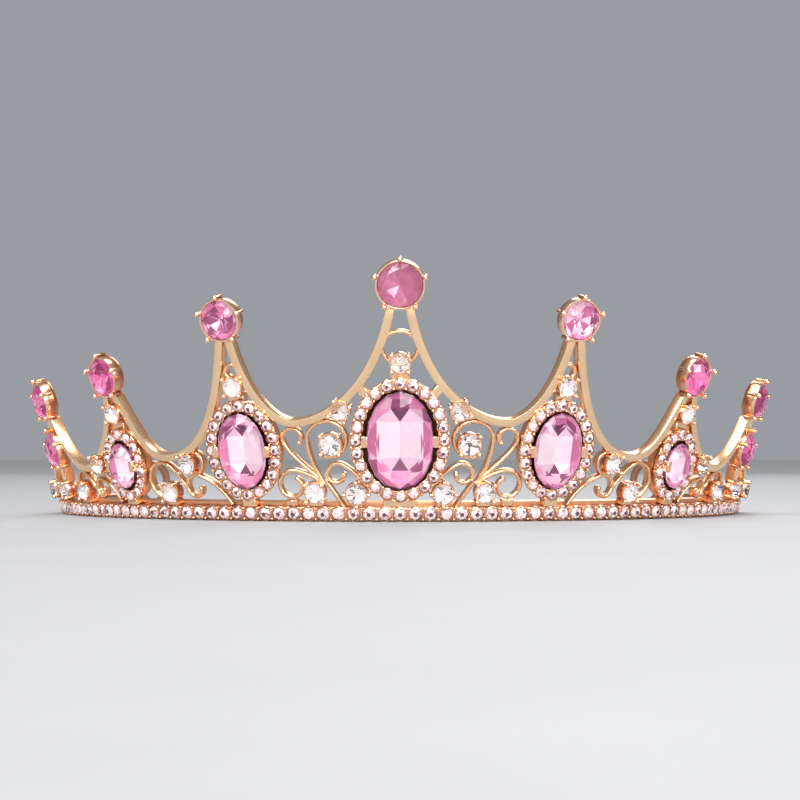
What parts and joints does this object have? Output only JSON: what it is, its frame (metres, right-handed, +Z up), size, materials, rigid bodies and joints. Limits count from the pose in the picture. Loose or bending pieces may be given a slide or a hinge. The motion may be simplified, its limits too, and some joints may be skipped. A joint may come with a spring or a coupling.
{
  "type": "tiara",
  "caption": "Rose-gold tiara with flared peaks of pink oval and round cut stones, clear stones, scrollwork, a stone-set band and wire eyes at its ends.",
  "frame": {"origin": "centre of the bounding box, at the level underside of the band", "axes": "+Z up the peaks, -Y out of the front peak, +X to the right as the viewer sees the front"},
  "size_m": [0.146, 0.1225, 0.0467],
  "materials": {
    "rose_gold": "polished",
    "pink_stone": "polished",
    "clear_stone": "polished"
  },
  "bodies": {
    "root": {"frame": "rose_gold", "stone_band": "clear_stone", "end_wire_right": "rose_gold", "end_wire_left": "rose_gold", "halo_centre": "clear_stone", "oval_centre": "pink_stone", "clear_peak_centre": "clear_stone", "round_centre": "pink_stone", "halo_second_right": "clear_stone", "oval_second_right": "pink_stone", "clear_peak_second_right": "clear_stone", "round_second_right": "pink_stone", "halo_second_left": "clear_stone", "oval_second_left": "pink_stone", "clear_peak_second_left": "clear_stone", "round_second_left": "pink_stone", "halo_third_right": "clear_stone", "oval_third_right": "pink_stone", "clear_peak_third_right": "clear_stone", "round_third_right": "pink_stone", "halo_third_left": "clear_stone", "oval_third_left": "pink_stone", "clear_peak_third_left": "clear_stone", "round_third_left": "pink_stone", "clear_first_strip_right": "clear_stone", "clear_first_loop_right": "clear_stone", "clear_first_inner_right": "clear_stone", "clear_first_outer_right": "clear_stone", "clear_second_strip_right": "clear_stone", "clear_second_curl_right": "clear_stone", "clear_third_strip_right": "clear_stone", "clear_third_curl_right": "clear_stone", "clear_last_right": "clear_stone", "clear_peak_end_right": "clear_stone", "round_end_lower_right": "pink_stone", "round_end_upper_right": "pink_stone", "clear_first_strip_left": "clear_stone", "clear_first_loop_left": "clear_stone", "clear_first_inner_left": "clear_stone", "clear_first_outer_left": "clear_stone", "clear_second_strip_left": "clear_stone", "clear_second_curl_left": "clear_stone", "clear_third_strip_left": "clear_stone", "clear_third_curl_left": "clear_stone", "clear_last_left": "clear_stone", "clear_peak_end_left": "clear_stone", "round_end_lower_left": "pink_stone", "round_end_upper_left": "pink_stone"}
  },
  "joints": []
}
